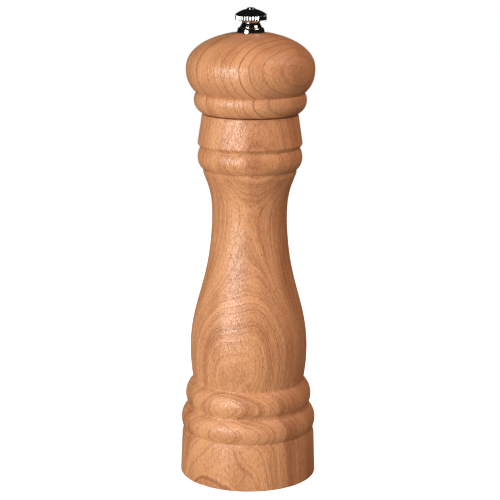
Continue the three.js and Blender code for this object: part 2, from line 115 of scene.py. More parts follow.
# %% Wires and finishes
class Wire:
    """An output socket in a finish. Operators on it add Math nodes."""

    def __init__(self, finish, socket):
        self.finish = finish
        self.socket = socket

    def __add__(self, other):
        return self.finish.math("ADD", self, other)

    def __radd__(self, other):
        return self.finish.math("ADD", other, self)

    def __sub__(self, other):
        return self.finish.math("SUBTRACT", self, other)

    def __rsub__(self, other):
        return self.finish.math("SUBTRACT", other, self)

    def __mul__(self, other):
        return self.finish.math("MULTIPLY", self, other)

    def __rmul__(self, other):
        return self.finish.math("MULTIPLY", other, self)

    def __truediv__(self, other):
        return self.finish.math("DIVIDE", self, other)

    def __pow__(self, other):
        return self.finish.math("POWER", self, other)

    def floor(self):
        return self.finish.math("FLOOR", self)

    def clamped(self):
        return self.finish.math("MINIMUM", self.finish.math("MAXIMUM", self, 0.0), 1.0)

    def rises(self, low, high):
        """0 below `low`, 1 above `high`, and a soft step between."""
        return self.finish.node(
            "ShaderNodeMapRange",
            {"interpolation_type": "SMOOTHSTEP"},
            {"Value": self, "From Min": low, "From Max": high},
        )


class Finish:
    """A material that is being built."""

    def __init__(self, name):
        self.material = bpy.data.materials.new(name)
        self.material.use_nodes = True
        self.tree = self.material.node_tree
        self.tree.nodes.clear()

    def node(self, kind, settings=None, sockets=None, output=0):
        """Adds any node and returns the wire that comes out of it."""
        node = self.tree.nodes.new(kind)
        for name, value in (settings or {}).items():
            setattr(node, name, value)
        for name, value in (sockets or {}).items():
            if isinstance(value, Wire):
                self.tree.links.new(value.socket, node.inputs[name])
            else:
                node.inputs[name].default_value = value
        return Wire(self, node.outputs[output]) if node.outputs else None

    def math(self, operation, *values):
        return self.node("ShaderNodeMath", {"operation": operation}, dict(enumerate(values)))

    def place(self):
        """The place on the piece, in millimetres, as three wires."""
        metres = self.node("ShaderNodeTexCoord", output="Object")
        scaled = self.node(
            "ShaderNodeVectorMath", {"operation": "SCALE"}, {0: metres, "Scale": 1 / MM}
        )
        axes = [self.node("ShaderNodeSeparateXYZ", sockets={0: scaled}, output=i) for i in range(3)]
        return axes

    def noise(self, x, y, z, detail=2.0, roughness=0.5):
        """Cloudy noise about 0.5, whose features are about one unit across."""
        point = self.node("ShaderNodeCombineXYZ", sockets={0: x, 1: y, 2: z})
        sockets = {"Vector": point, "Scale": 1.0, "Detail": detail, "Roughness": roughness}
        return self.node("ShaderNodeTexNoise", sockets=sockets)

    def strata(self, depth, detail=1.0):
        """Noise in one direction only, which draws layers as the depth grows."""
        sockets = {"W": depth, "Scale": 1.0, "Detail": detail}
        return self.node("ShaderNodeTexNoise", {"noise_dimensions": "1D"}, sockets)

    def blend(self, share, first, second):
        """From the first colour to the second as the share goes from 0 to 1."""
        return self.node("ShaderNodeMix", {"data_type": "RGBA"}, {0: share, 6: first, 7: second}, 2)

    def bump(self, height, depth_mm, strength=1.0):
        """A normal that follows a height of 0 to 1, which stands for that depth."""
        sockets = {"Height": height, "Distance": depth_mm * MM, "Strength": strength}
        return self.node("ShaderNodeBump", sockets=sockets)

    def surface(self, **sockets):
        """The shader that the finish ends in. Socket names have underscores for spaces."""
        named = {name.replace("_", " "): value for name, value in sockets.items()}
        shader = self.node("ShaderNodeBsdfPrincipled", sockets=named)
        self.node("ShaderNodeOutputMaterial", sockets={"Surface": shader})
        return self.material


def shade(red, green, blue):
    """A colour with the solid alpha that Blender's colour sockets expect."""
    return (red, green, blue, 1.0)


print("finish tools:", ", ".join(name for name in vars(Finish) if not name.startswith("_")))

# %% [markdown]
# ## Cherry wood
# A tree lays down one sleeve of wood a year, so the figure on a turned piece is where
# its outside cuts those sleeves: ovals where it bulges towards the bark, arches where it
# narrows, straight lines down its sides. A flat picture of grain can't do that. This
# finish works out how far each point is from the middle of the tree, and darkens the end
# of each year's growth. Slow noise lets the sleeves wander, and quick noise that is
# stretched along the grain draws the fibres and pores.

# %% Cherry
def cherry(name, facing, tip, lean, middle, pith_mm, ring_mm, wander, seed, lines, layers, age):
    """Solid cherry. At the height `middle` the bark is `facing` degrees to the right of the
    front and tipped up by `tip`, and the middle of the tree is `pith_mm` behind the axis.
    `lines` is how dark each year's last growth is, `layers` is how clear the fine ones are,
    and `age` is how far the wood has darkened in the light."""
    f = Finish(name)
    x, y, z = f.place()
    up = z - middle
    bark = math.radians(facing)

    drift = f.noise(x / 24 + seed, y / 24, z / 60, detail=1.0) - 0.5
    sway = f.noise(x / 30, y / 30 + seed, z / 75, detail=1.0) - 0.5
    shake = f.noise(x / 3, y / 3, z / 16 + seed, detail=2.0) - 0.5
    out = x * math.sin(bark) - y * math.cos(bark) + up * math.tan(math.radians(tip))
    side = x * math.cos(bark) + y * math.sin(bark) + up * lean
    depth = ((out + drift * wander + pith_mm) ** 2 + (side + sway * 2 * wander) ** 2) ** 0.5
    years = depth / ring_mm + shake * 0.2

    year = years.floor()
    season = years - year
    luck = f.node("ShaderNodeTexWhiteNoise", {"noise_dimensions": "1D"}, {"W": year})
    line = season.rises(0.76, 0.95) * (1 - season.rises(0.96, 1.0)) * (0.25 + luck * 0.75)
    zones = f.strata(years * 0.55 + seed) - 0.5
    sheets = f.strata(depth * 2.6 + shake, detail=1.5) - 0.5

    fibres = f.noise(x * 2.6, y * 2.6, z / 4, detail=3.0, roughness=0.78) - 0.5
    pores = f.noise(x * 4 + seed, y * 4, z / 1.3, detail=1.0).rises(0.56, 0.68)
    cloud = f.noise(x / 9, y / 9, z / 38 + seed, detail=2.0) - 0.5

    tone = age + 1.2 * zones + layers * sheets + 2.0 * fibres + 1.4 * cloud
    warm = f.blend(tone.clamped(), shade(0.640, 0.315, 0.142), shade(0.370, 0.140, 0.054))
    lined = f.blend(line * lines, warm, shade(0.20, 0.070, 0.026))
    colour = f.blend(pores * 0.45, lined, shade(0.16, 0.050, 0.018))

    height = 0.5 - 0.5 * pores - 0.3 * line + 0.8 * fibres + 0.8 * layers * sheets
    return f.surface(
        Base_Color=colour,
        Roughness=0.33 + 0.30 * fibres + 0.12 * pores,
        Normal=f.bump(height, 0.12),
    )


body_wood = cherry("cherry_body", 0, 0, 0.26, 104, 60, 2.2, 6, 3.7, 0.4, 1.5, 0.31)
head_wood = cherry("cherry_head", 50, 6, 0.0, 177, 60.8, 3.0, 3, 8.2, 0.9, 0.7, 0.16)
print("wood nodes:", len(body_wood.node_tree.nodes))

# %% [markdown]
# ## Metals
# The knob is polished chrome plate, which is nearly a mirror, so only faint polishing
# marks show. The burrs are hardened steel with a machined skin, the shaft is a drawn
# aluminium bar, and the screws, washers and nut are zinc plated. They share one recipe:
# a colour, a shine, and fine marks that run along the way the piece was worked.

# %% Metal recipe
def metal(name, colour, dark, shine, marks_mm, along, depth_mm, blotch=0.25):
    """A bare or plated metal. `along` stretches its marks along X, Y and Z."""
    f = Finish(name)
    x, y, z = f.place()
    scaled = [axis / (marks_mm * stretch) for axis, stretch in zip((x, y, z), along)]
    marks = f.noise(*scaled, detail=3.0, roughness=0.65)
    stain = f.noise(x / 3.1, y / 3.1, z / 3.1, detail=3.0)
    share = (blotch * (stain - 0.45) + blotch * (marks - 0.5)).clamped()
    return f.surface(
        Base_Color=f.blend(share * 2, shade(*colour), shade(*dark)),
        Metallic=1.0,
        Roughness=shine + 0.16 * (marks - 0.5) + 0.10 * (stain - 0.5),
        Normal=f.bump(marks, depth_mm),
    )


chrome = metal("chrome_plate", (0.56, 0.56, 0.57), (0.44, 0.44, 0.46), 0.07, 0.5, (1, 1, 1), 0.0008)
burr_steel = metal("burr_steel", (0.44, 0.44, 0.45), (0.22, 0.215, 0.21), 0.36, 0.12, (1, 1, 6), 0.01)
zinc = metal("zinc_plate", (0.66, 0.67, 0.68), (0.42, 0.43, 0.46), 0.27, 0.25, (1, 1, 1), 0.006)
bar = metal("drawn_aluminium", (0.77, 0.78, 0.79), (0.56, 0.57, 0.58), 0.30, 0.08, (1, 1, 60), 0.006)
sheet_metal = metal("rolled_aluminium", (0.74, 0.75, 0.76), (0.5, 0.51, 0.52), 0.34, 0.1, (30, 1, 1), 0.006)
wire_steel = metal("spring_wire", (0.52, 0.53, 0.55), (0.30, 0.29, 0.28), 0.26, 0.2, (1, 1, 1), 0.006)
metals = (chrome, burr_steel, zinc, bar, sheet_metal, wire_steel)
print("metals:", ", ".join(finish.name for finish in metals))

# %% [markdown]
# ## Reading an outline off a solid
# A turned piece is known by its half section. The CAD solid has one of its facet edges
# in the plane behind the axis, so the corners there, walked in order, are that section.
# Reading it off the solid keeps the fine surface on the CAD's own sizes.

# %% Outline of a CAD node
ON_PLANE = 2e-6


def cad_outline(node):
    """The half section of a turned node, behind its axis, as [Vector((radius, height))]."""
    mesh = frame["nodes"][node].data
    spots = {
        v.index: (round(max(v.co.y, 0.0) * 1e6), round(v.co.z * 1e6))
        for v in mesh.vertices
        if abs(v.co.x) < ON_PLANE and v.co.y > -ON_PLANE
    }
    links = {}
    for edge in mesh.edges:
        ends = [spots.get(index) for index in edge.vertices]
        if None not in ends and ends[0] != ends[1]:
            links.setdefault(ends[0], set()).add(ends[1])
            links.setdefault(ends[1], set()).add(ends[0])
    loose = sorted(spot for spot, near in links.items() if len(near) == 1)
    here = loose[0] if loose else min(links)
    order = [here]
    while True:
        onward = [spot for spot in sorted(links[here]) if spot not in order]
        if not onward:
            break
        here = max(onward) if len(order) == 1 else onward[0]
        order.append(here)
    return [Vector((radius * 1e-6, height * 1e-6)) for radius, height in order]


def is_closed(outline):
    return outline[0].x > ON_PLANE or outline[-1].x > ON_PLANE


for name in ("mill_body", "head", "knob_button"):
    section = cad_outline(name)
    print(f"{name}: {len(section)} points, closed {is_closed(section)}")

# %% [markdown]
# ## Smoothing the outline
# A turner's gouge leaves flowing curves, and sandpaper takes the bite off each edge. The
# section's few points are joined by curves, except at real corners, which get a small
# rounded edge instead. A corner is a place where the outline turns sharply, or where a
# long straight meets something short.

# %% Smooth outline
CORNER = math.radians(32)
LONG_SHORT = 2.8
FLAT = math.radians(1.5)


def turn_at(before, here, after):
    return abs((here - before).angle_signed(after - here, 0.0))


def is_corner(before, here, after):
    turn = turn_at(before, here, after)
    lengths = sorted(((here - before).length, (after - here).length))
    return turn > CORNER or (turn > FLAT and lengths[1] > LONG_SHORT * lengths[0])


def curve_piece(points, step):
    """Points along a smooth curve through `points`, which are close to arcs."""
    if len(points) < 3:
        return list(points)
    chords = [(b - a) for a, b in zip(points, points[1:])]
    slopes = [None] * len(points)
    for i in range(1, len(points) - 1):
        before, after = chords[i - 1], chords[i]
        slopes[i] = (before.normalized() * after.length + after.normalized() * before.length)
        slopes[i].normalize()
    slopes[0] = 2 * slopes[1].dot(chords[0].normalized()) * chords[0].normalized() - slopes[1]
    last = chords[-1].normalized()
    slopes[-1] = 2 * slopes[-2].dot(last) * last - slopes[-2]
    made = []
    for i, chord in enumerate(chords):
        count = max(1, round(chord.length / step))
        leave = slopes[i] * chord.length
        arrive = slopes[i + 1] * chord.length
        for k in range(count):
            t = k / count
            made.append(
                points[i] * (2 * t**3 - 3 * t**2 + 1)
                + leave * (t**3 - 2 * t**2 + t)
                + points[i + 1] * (3 * t**2 - 2 * t**3)
                + arrive * (t**3 - t**2)
            )
    made.append(points[-1])
    return made


def eased(points, closed, ease):
    """Rounds off what is still sharp, with an arc that starts `ease` before the corner."""
    count = len(points)
    made = []
    for i, here in enumerate(points):
        ends = not closed and i in (0, count - 1)
        before, after = points[i - 1], points[(i + 1) % count]
        if ends or turn_at(before, here, after) < CORNER * 0.6:
            made.append(here)
            continue
        back = min(ease, 0.4 * (here - before).length)
        on = min(ease, 0.4 * (after - here).length)
        start = here + (before - here).normalized() * back
        end = here + (after - here).normalized() * on
        made += [start.lerp(here, t).lerp(here.lerp(end, t), t) for t in (0, 0.25, 0.5, 0.75, 1)]
    return made


def fine_outline(node, step_mm=0.6, ease_mm=0.25):
    """The half section of a turned node with its curves and edges drawn finely."""
    rough = cad_outline(node)
    closed = is_closed(rough)
    count = len(rough)
    corners = [
        i
        for i in range(count)
        if (not closed and i in (0, count - 1))
        or is_corner(rough[i - 1], rough[i], rough[(i + 1) % count])
    ]
    made = []
    spans = list(zip(corners, corners[1:]))
    if closed:
        spans.append((corners[-1], corners[0] + count))
    for first, last in spans:
        stretch = [rough[i % count] for i in range(first, last + 1)]
        made += curve_piece(stretch, step_mm * MM)[:-1]
    if not closed:
        made.append(rough[-1])
    return eased(made, closed, ease_mm * MM)


print("body outline:", len(fine_outline("mill_body")), "points")

# %% [markdown]
# ## Spinning an outline
# Spinning is the lathe itself: each point of the outline becomes a ring of corners, and
# neighbouring rings are joined by faces. A rule may move a corner in or out as it goes
# round, which is how ribs, teeth, a hexagon or a square hole are cut in the same pass.

# %% Spin
def finished_object(name, mesh, material, node, slot, sharp_deg=38):
    """Links a mesh as the piece that stands for a CAD node, and lets it ride there."""
    mesh.materials.append(material)
    mesh.set_sharp_from_angle(angle=math.radians(sharp_deg))
    piece = bpy.data.objects.new(name, mesh)
    bpy.context.scene.collection.objects.link(piece)
    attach(piece, frame["nodes"][node]["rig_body"])
    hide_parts(node)
    return piece


def spun_mesh(name, outline, segments, rule=None):
    """A closed mesh: the outline spun about Z. `rule(radius, height, angle)` gives a radius."""
    grid = bmesh.new()
    rings = []
    for point in outline:
        if point.x < ON_PLANE:
            rings.append([grid.verts.new((0.0, 0.0, point.y))])
            continue
        ring = []
        for step in range(segments):
            angle = FULL_TURN * step / segments
            radius = rule(point.x, point.y, angle) if rule else point.x
            ring.append(
                grid.verts.new((radius * math.cos(angle), radius * math.sin(angle), point.y))
            )
        rings.append(ring)
    pairs = list(zip(rings, rings[1:]))
    if is_closed(outline):
        pairs.append((rings[-1], rings[0]))
    for low, high in pairs:
        for step in range(segments):
            onward = (step + 1) % segments
            corners = [low[step % len(low)], low[onward % len(low)]]
            corners += [high[onward % len(high)], high[step % len(high)]]
            distinct = list(dict.fromkeys(corners))
            if len(distinct) > 2:
                grid.faces.new(distinct)
    bmesh.ops.recalc_face_normals(grid, faces=grid.faces)
    mesh = bpy.data.meshes.new(name)
    grid.to_mesh(mesh)
    grid.free()
    mesh.polygons.foreach_set("use_smooth", [True] * len(mesh.polygons))
    return mesh


print("lathe tools:", spun_mesh.__name__, "and", finished_object.__name__)

# %% [markdown]
# ## Boring holes
# Screw holes can't be spun, because they stand off the axis, so they are drilled as they
# are in a workshop: a closed cutter is taken out of the finished blank.

# %% Cutting and boring
def mesh_of(data):
    """The mesh that a curve, or a mesh with modifiers on its object, comes out as."""
    holder = data if isinstance(data, bpy.types.Object) else bpy.data.objects.new("draft", data)
    if not holder.users_collection:
        bpy.context.scene.collection.objects.link(holder)
    graph = bpy.context.evaluated_depsgraph_get()
    mesh = bpy.data.meshes.new_from_object(holder.evaluated_get(graph))
    bpy.data.objects.remove(holder)
    return mesh


def cut(mesh, cutter):
    """Takes the cutter's volume out of the mesh."""
    blank = bpy.data.objects.new("blank", mesh)
    tool = bpy.data.objects.new("tool", cutter)
    bpy.context.scene.collection.objects.link(blank)
    bpy.context.scene.collection.objects.link(tool)
    step = blank.modifiers.new("cut", "BOOLEAN")
    step.object = tool
    made = mesh_of(blank)
    bpy.data.objects.remove(tool)
    if not made.polygons:
        raise ValueError("the cut left nothing of " + mesh.name)
    return made


def bored(mesh, spots_mm, radius_mm, low_mm, high_mm):
    """Drills upright round holes, one at each (x, y)."""
    drills = bmesh.new()
    for x, y in spots_mm:
        middle = Vector((x, y, (low_mm + high_mm) / 2)) * MM
        bmesh.ops.create_cone(
            drills, cap_ends=True, segments=32, radius1=radius_mm * MM, radius2=radius_mm * MM,
            depth=(high_mm - low_mm) * MM, matrix=Matrix.Translation(middle),
        )
    cutter = bpy.data.meshes.new("drills")
    drills.to_mesh(cutter)
    drills.free()
    return cut(mesh, cutter)


SCREW_HOLE = 1.5
FLANGE_REACH = 17.5
PLATE_REACH = 8.5
FLANGE_ANGLES = [FULL_TURN * i / 3 for i in range(3)]
FLANGE_SPOTS = [(FLANGE_REACH * math.cos(a), FLANGE_REACH * math.sin(a)) for a in FLANGE_ANGLES]
PLATE_SPOTS = [(PLATE_REACH, 0), (-PLATE_REACH, 0)]
print("screw holes:", len(FLANGE_SPOTS) + len(PLATE_SPOTS))

# %% [markdown]
# ## The two wooden pieces
# The body is one block, bored through for the peppercorns, with a wider bore at the
# bottom for the burrs and a recess at the top for the head. The head has a tenon that
# turns in that recess. Both keep the small rounded edges that sanding leaves.

# %% Body and head
WOOD_FACETS = 192
body_blank = spun_mesh("body_wood", fine_outline("mill_body", 0.7, 0.28), WOOD_FACETS)
body_mesh = bored(body_blank, FLANGE_SPOTS, SCREW_HOLE, 9.0, 15.9)
finished_object("turned_body", body_mesh, body_wood, "mill_body", "turned_wood")
head_blank = spun_mesh("head_wood", fine_outline("head", 0.7, 0.28), WOOD_FACETS)
head_mesh = bored(head_blank, PLATE_SPOTS, SCREW_HOLE, 149.0, 157.1)
finished_object("turned_head", head_mesh, head_wood, "head", "turned_wood")
print("wood faces:", len(body_mesh.polygons) + len(head_mesh.polygons))

# %% [markdown]
# ## The chrome knob
# The knob stands on a ferrule let into the wood. Its nut has a waisted neck and a ribbed
# ring to grip, and a thin domed cap with a sharp rim is riveted on with a round button.

# %% Knob pieces
RIBS = 36
RIB_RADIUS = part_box("adjuster_nut")[1].x
nut_outline = fine_outline("adjuster_nut", 0.2, 0.12)
groove_radius = max(point.x for point in nut_outline)
rib_depth = RIB_RADIUS - groove_radius


def ribbed(radius, height, angle):
    """Raises round ribs on the ring, and leaves the rest of the nut alone."""
    on_ring = min(1.0, max(0.0, (radius - groove_radius) / (0.5 * MM) + 1))
    rib = abs(math.cos(RIBS * angle / 2)) ** 3
    return radius + rib_depth * rib * on_ring


def stretched(outline, low_mm, high_mm):
    """Stretches an outline along the axis, to close a gap that the CAD leaves for its checks."""
    low = min(point.y for point in outline)
    scale = (high_mm - low_mm) * MM / (max(point.y for point in outline) - low)
    return [Vector((point.x, low_mm * MM + (point.y - low) * scale)) for point in outline]


def chrome_piece(name, node, outline, segments, rule=None):
    mesh = spun_mesh(name, outline, segments, rule)
    return finished_object(name, mesh, chrome, node, "chrome")


chrome_piece("ferrule", "crown_ferrule", fine_outline("crown_ferrule", 0.3, 0.25), 128)
chrome_piece("ribbed_nut", "adjuster_nut", stretched(nut_outline, 194.86, 199.85), RIBS * 12, ribbed)
cap_outline = stretched(fine_outline("knob_cap", 0.25, 0.03), 199.9, 202.45)
chrome_piece("domed_cap", "knob_cap", cap_outline, 128)
chrome_piece("rivet_button", "knob_button", fine_outline("knob_button", 0.15, 0.05), 96)
print(f"ribs: {RIBS}, {rib_depth / MM:.2f} mm high")

# %% [markdown]
# ## Shapes for the mechanism
# The steel parts are turned, stamped, coiled or threaded. Turned ones are spun as above
# from corners written out here. Stamped ones are flat outlines with holes, whose edges
# the press has rounded. A thread is a turned bar whose radius rises and falls along a
# helix, so the ring heights only have to be close enough together to show it.

# %% Shape helpers
def corners(*pairs_mm):
    """An outline from plain numbers in millimetres, as (radius, height)."""
    return [Vector((radius * MM, height * MM)) for radius, height in pairs_mm]


def divided(outline, step_mm, closed=True):
    """The same outline with extra points, so that no piece is longer than the step."""
    ends = outline[1:] + outline[:1] if closed else outline[1:]
    made = []
    for here, after in zip(outline, ends):
        count = max(1, math.ceil((after - here).length / (step_mm * MM)))
        made += [here.lerp(after, k / count) for k in range(count)]
    return made if closed else made + [outline[-1]]


def polygon_radius(half, sides, angle):
    """From the centre of a regular polygon to its side, in one direction."""
    pitch = FULL_TURN / sides
    from_side = (angle + pitch / 2) % pitch - pitch / 2
    return half / math.cos(from_side)


def sawtooth(phase):
    """0 to 1 over a long rise, and back to 0 over a short fall."""
    place = phase % 1.0
    return place * 1.5 if place < 2 / 3 else (1 - place) * 3


def circle_loop(x, y, radius, count=64):
    return [
        (x + radius * math.cos(FULL_TURN * i / count), y + radius * math.sin(FULL_TURN * i / count))
        for i in range(count)
    ]


def square_loop(half):
    return [(-half, -half), (half, -half), (half, half), (-half, half)]


def stamped_mesh(name, loops_mm, low_mm, high_mm, edge_mm=0.12):
    """A flat plate. The first loop is its outside and the others are holes."""
    curve = bpy.data.curves.new(name, "CURVE")
    curve.dimensions = "2D"
    curve.fill_mode = "BOTH"
    for loop in loops_mm:
        spline = curve.splines.new("POLY")
        spline.points.add(len(loop) - 1)
        spline.use_cyclic_u = True
        for point, (x, y) in zip(spline.points, loop):
            point.co = (x * MM, y * MM, 0, 1)
    curve.bevel_depth = edge_mm * MM
    curve.bevel_resolution = 2
    curve.offset = -edge_mm * MM
    curve.extrude = ((high_mm - low_mm) / 2 - edge_mm) * MM
    mesh = mesh_of(curve)
    mesh.transform(Matrix.Translation((0, 0, (low_mm + high_mm) / 2 * MM)))
    mesh.polygons.foreach_set("use_smooth", [True] * len(mesh.polygons))
    return mesh


def thread(crest_mm, depth_mm, pitch_mm):
    """A rule that cuts a right-handed thread into a turned bar."""
    def rule(radius, height, angle):
        phase = (height / MM / pitch_mm - angle / FULL_TURN) % 1.0
        groove = abs(phase * 2 - 1)
        return min(radius, (crest_mm - depth_mm * groove) * MM)
    return rule


print(f"a square 6 mm bar is {2 * polygon_radius(3.0, 4, math.pi / 4):.2f} mm across its corners")

# %% [markdown]
# ## The burrs
# The stator is a hardened steel cup, screwed to the body from below. Its funnel draws the
# peppercorns in, and the cone under it is lined with fine teeth. The rotor turns inside:
# leaning flutes on its upper half crack the corns, and the fine teeth on its skirt grind
# them. Both are made in one spin, with a rule that cuts the teeth.

# %% Stator and rotor
TEETH = 24
FLUTES = 8
FINE_LEAN = 0.045
FLUTE_LEAN = 0.07
FINE_TOOTH = 0.5
FUNNEL_TOOTH = 1.0
FLUTE_DEPTH = 1.9
STATOR_TOP = 27.0
STATOR_WALL = 12.45
FUNNEL_LOW = 14.0
ROTOR_TOP = 17.5
SKIRT_TOP = 11.7
BORE_LIMIT = 4.2
BORE_SIDE = 3.05
BORE_DRAWN = 3.3


def stator_teeth(radius, height, angle):
    """Fine teeth in the cone, and broad shallow ones that lean in the funnel."""
    if radius > STATOR_WALL * MM:
        return radius
    up = height / MM
    fine = FINE_TOOTH * sawtooth(TEETH * angle / FULL_TURN + FINE_LEAN * up)
    broad = FUNNEL_TOOTH * sawtooth(FLUTES * angle / FULL_TURN - FLUTE_LEAN * up)
    share = min(1.0, max(0.0, (up - FUNNEL_LOW) / 3))
    fade = min(1.0, max(0.0, (STATOR_TOP - up) / 1.5))
    return radius + (fine * (1 - share) + broad * share * fade) * MM


stator_outline = corners(
    (12.4, 8.3), (19.6, 8.3), (19.6, 10.3), (15.0, 10.3), (15.0, STATOR_TOP),
    (12.4, STATOR_TOP), (10.6, 20.0), (10.6, 13.0),
)
stator_fine = divided(eased(stator_outline, True, 0.3 * MM), 0.5)
stator_blank = spun_mesh("stator", stator_fine, TEETH * 10, stator_teeth)
stator_mesh = bored(stator_blank, FLANGE_SPOTS, SCREW_HOLE, 7.0, 11.0)
finished_object("stator_burr", stator_mesh, burr_steel, "stator", "burr_steel", 30)


def rotor_cut(radius, height, angle):
    """The square bore, the skirt's fine teeth and the flutes above them."""
    up = height / MM
    if radius < BORE_LIMIT * MM:
        side = min(polygon_radius(BORE_SIDE * MM, 4, angle), BORE_LIMIT * MM)
        return side * radius / (BORE_DRAWN * MM)
    inward = min(1.0, (radius / MM - BORE_LIMIT) / 2.5)
    fine = FINE_TOOTH * sawtooth(TEETH * angle / FULL_TURN + FINE_LEAN * up) * inward
    if up <= SKIRT_TOP:
        return radius - fine * MM
    above = up - SKIRT_TOP
    reach = above / (ROTOR_TOP - SKIRT_TOP)
    share = min(1.0, 2.5 * reach)
    flute = FLUTE_DEPTH * sawtooth(FLUTES * angle / FULL_TURN + FLUTE_LEAN * above)
    flute *= 1 - 0.5 * reach
    return radius - (fine * (1 - share) + flute * share) * inward * MM


foot = [(BORE_DRAWN, 7.0), (6.6, 7.0), (7.4, 7.5), (11.4, 7.0), (11.8, 7.15)]
crusher = [(10.0, SKIRT_TOP), (9.9, 13.0), (9.5, 14.3), (8.8, 15.6), (7.9, 16.8), (7.0, ROTOR_TOP)]
rotor_outline = corners(*foot, *crusher, (BORE_DRAWN, ROTOR_TOP))
rotor_fine = divided(rotor_outline, 0.35)
rotor_blank = spun_mesh("rotor", rotor_fine, TEETH * 10, rotor_cut)
finished_object("rotor_burr", rotor_blank, burr_steel, "rotor", "burr_steel", 30)
print("burr faces:", len(stator_mesh.polygons) + len(rotor_blank.polygons))

# %% [markdown]
# ## The shaft
# A square bar turns the rotor, because it fits the square hole in the drive plate. Its
# bottom is turned down and threaded for the nut under the rotor. Its top is turned down
# and threaded for the knob.

# %% Shaft
SHAFT_HALF = 3.0
THREAD_PITCH = 0.8
top_thread = thread(2.4, 0.42, THREAD_PITCH)
low_thread = thread(2.0, 0.36, THREAD_PITCH)


def shaft_rule(radius, height, angle):
    """Square with slightly broken corners in the middle, threaded at both ends."""
    if height < 7.3 * MM:
        return low_thread(radius, height, angle)
    if height > 187.7 * MM:
        return top_thread(radius, height, angle)
    return min(polygon_radius(SHAFT_HALF * MM, 4, angle), 3.95 * MM, radius)


low_stud = divided(corners((1.5, 2.6), (2.0, 3.1), (2.0, 7.3)), 0.08, closed=False)
stub = divided(corners((2.4, 187.7), (2.4, 197.8), (1.9, 198.3)), 0.08, closed=False)
bar_sides = corners((3.0, 7.42), (4.3, 8.4), (4.3, 60.0), (4.3, 186.4), (2.9, 187.6))
shaft_outline = corners((0, 2.6)) + low_stud + bar_sides + stub + corners((0, 198.3))
shaft_mesh = spun_mesh("shaft", shaft_outline, 64, shaft_rule)
finished_object("square_shaft", shaft_mesh, bar, "drive_shaft", "shaft_aluminium", 25)
print("shaft faces:", len(shaft_mesh.polygons))

# %% [markdown]
# ## Washers, nut, bridge and drive plate
# These are stamped from sheet, apart from the nut, which is a turned hexagon. The pieces
# are drawn together here until they nearly touch, as they do on a mill that is screwed up.

# %% Stamped pieces and nut
rotor_washer_mesh = stamped_mesh("washer", [circle_loop(0, 0, 6.2), circle_loop(0, 0, 2.2)], 6.15, 6.95)
finished_object("plain_washer", rotor_washer_mesh, zinc, "rotor_washer", "zinc_steel")

square_washer = [circle_loop(0, 0, 6.6), square_loop(3.1)]
seat_mesh = stamped_mesh("seat", square_washer, 17.6, 18.5)
finished_object("lower_spring_seat", seat_mesh, zinc, "spring_seat", "zinc_steel")
thrust_mesh = stamped_mesh("thrust", square_washer, 26.2, STATOR_TOP)
finished_object("upper_thrust_washer", thrust_mesh, zinc, "thrust_washer", "zinc_steel")


def bridge_window(side):
    """The opening between the hub, the ring and the two arms, on one side."""
    ring = 12.6
    hub = 7.2
    arm = 2.6
    start = 0.0 if side > 0 else math.pi
    outer = math.asin(arm / ring)
    inner = math.asin(arm / hub)
    loop = []
    for step in range(41):
        angle = start + outer + (math.pi - 2 * outer) * step / 40
        loop.append((ring * math.cos(angle), ring * math.sin(angle)))
    for step in range(31):
        angle = start + math.pi - inner - (math.pi - 2 * inner) * step / 30
        loop.append((hub * math.cos(angle), hub * math.sin(angle)))
    return loop


bridge_loops = [circle_loop(0, 0, 15.0, 96), circle_loop(0, 0, 4.6), bridge_window(1), bridge_window(-1)]
bridge_mesh = stamped_mesh("bridge", bridge_loops, 27.05, 28.9, 0.2)
finished_object("stamped_bridge", bridge_mesh, zinc, "bridge", "zinc_steel")

plate_loops = [circle_loop(0, 0, 12.0, 96), square_loop(3.3)]
plate_loops += [circle_loop(x, y, SCREW_HOLE, 32) for x, y in PLATE_SPOTS]
plate_mesh = stamped_mesh("drive_plate", plate_loops, 149.45, 150.35)
finished_object("square_holed_plate", plate_mesh, sheet_metal, "drive_plate", "shaft_aluminium")


def hexagonal(radius, height, angle):
    """Six flats on the outside of the nut, and nothing on its bore."""
    return min(radius, polygon_radius(3.5 * MM, 6, angle)) if radius > 3.0 * MM else radius


nut_sides = corners(
    (2.0, 3.8), (3.45, 3.8), (3.8, 3.93), (4.1, 4.15),
    (4.1, 5.75), (3.8, 5.97), (3.45, 6.1), (2.0, 6.1),
)
hex_mesh = spun_mesh("hex_nut", nut_sides, 96, hexagonal)
finished_object("hex_nut", hex_mesh, zinc, "rotor_nut", "zinc_steel", 25)
print("bridge faces:", len(bridge_mesh.polygons), "and nut faces:", len(hex_mesh.polygons))

# %% [markdown]
# ## Screws
# Five pan head screws hold the stator to the body and the drive plate to the head. Each
# one has a domed head with a cross recess, and a coarse thread that cuts its own way into
# the wood, up to a point.

# %% Screws
SCREW_PITCH = 1.1


def cross_loop(reach_mm, half_mm):
    """The twelve corners of an upright cross."""
    quarter = [(half_mm, half_mm), (half_mm, reach_mm), (-half_mm, reach_mm)]
    loop = []
    for turn in range(4):
        c, s = round(math.cos(turn * math.pi / 2)), round(math.sin(turn * math.pi / 2))
        loop += [(x * c - y * s, x * s + y * c) for x, y in quarter]
    return loop


def cross_cutter():
    """A cross that tapers inwards, as the tip of a screwdriver does, in one closed piece."""
    cutter = bmesh.new()
    rings = [
        [cutter.verts.new((x * MM, y * MM, height * MM)) for x, y in cross_loop(reach, half)]
        for reach, half, height in ((1.45, 0.27, -0.4), (0.7, 0.16, 0.75))
    ]
    low, high = rings
    for i in range(len(low)):
        k = (i + 1) % len(low)
        cutter.faces.new((low[i], low[k], high[k], high[i]))
    cutter.faces.new(low)
    cutter.faces.new(high)
    bmesh.ops.recalc_face_normals(cutter, faces=cutter.faces)
    mesh = bpy.data.meshes.new("cross")
    cutter.to_mesh(mesh)
    cutter.free()
    return mesh


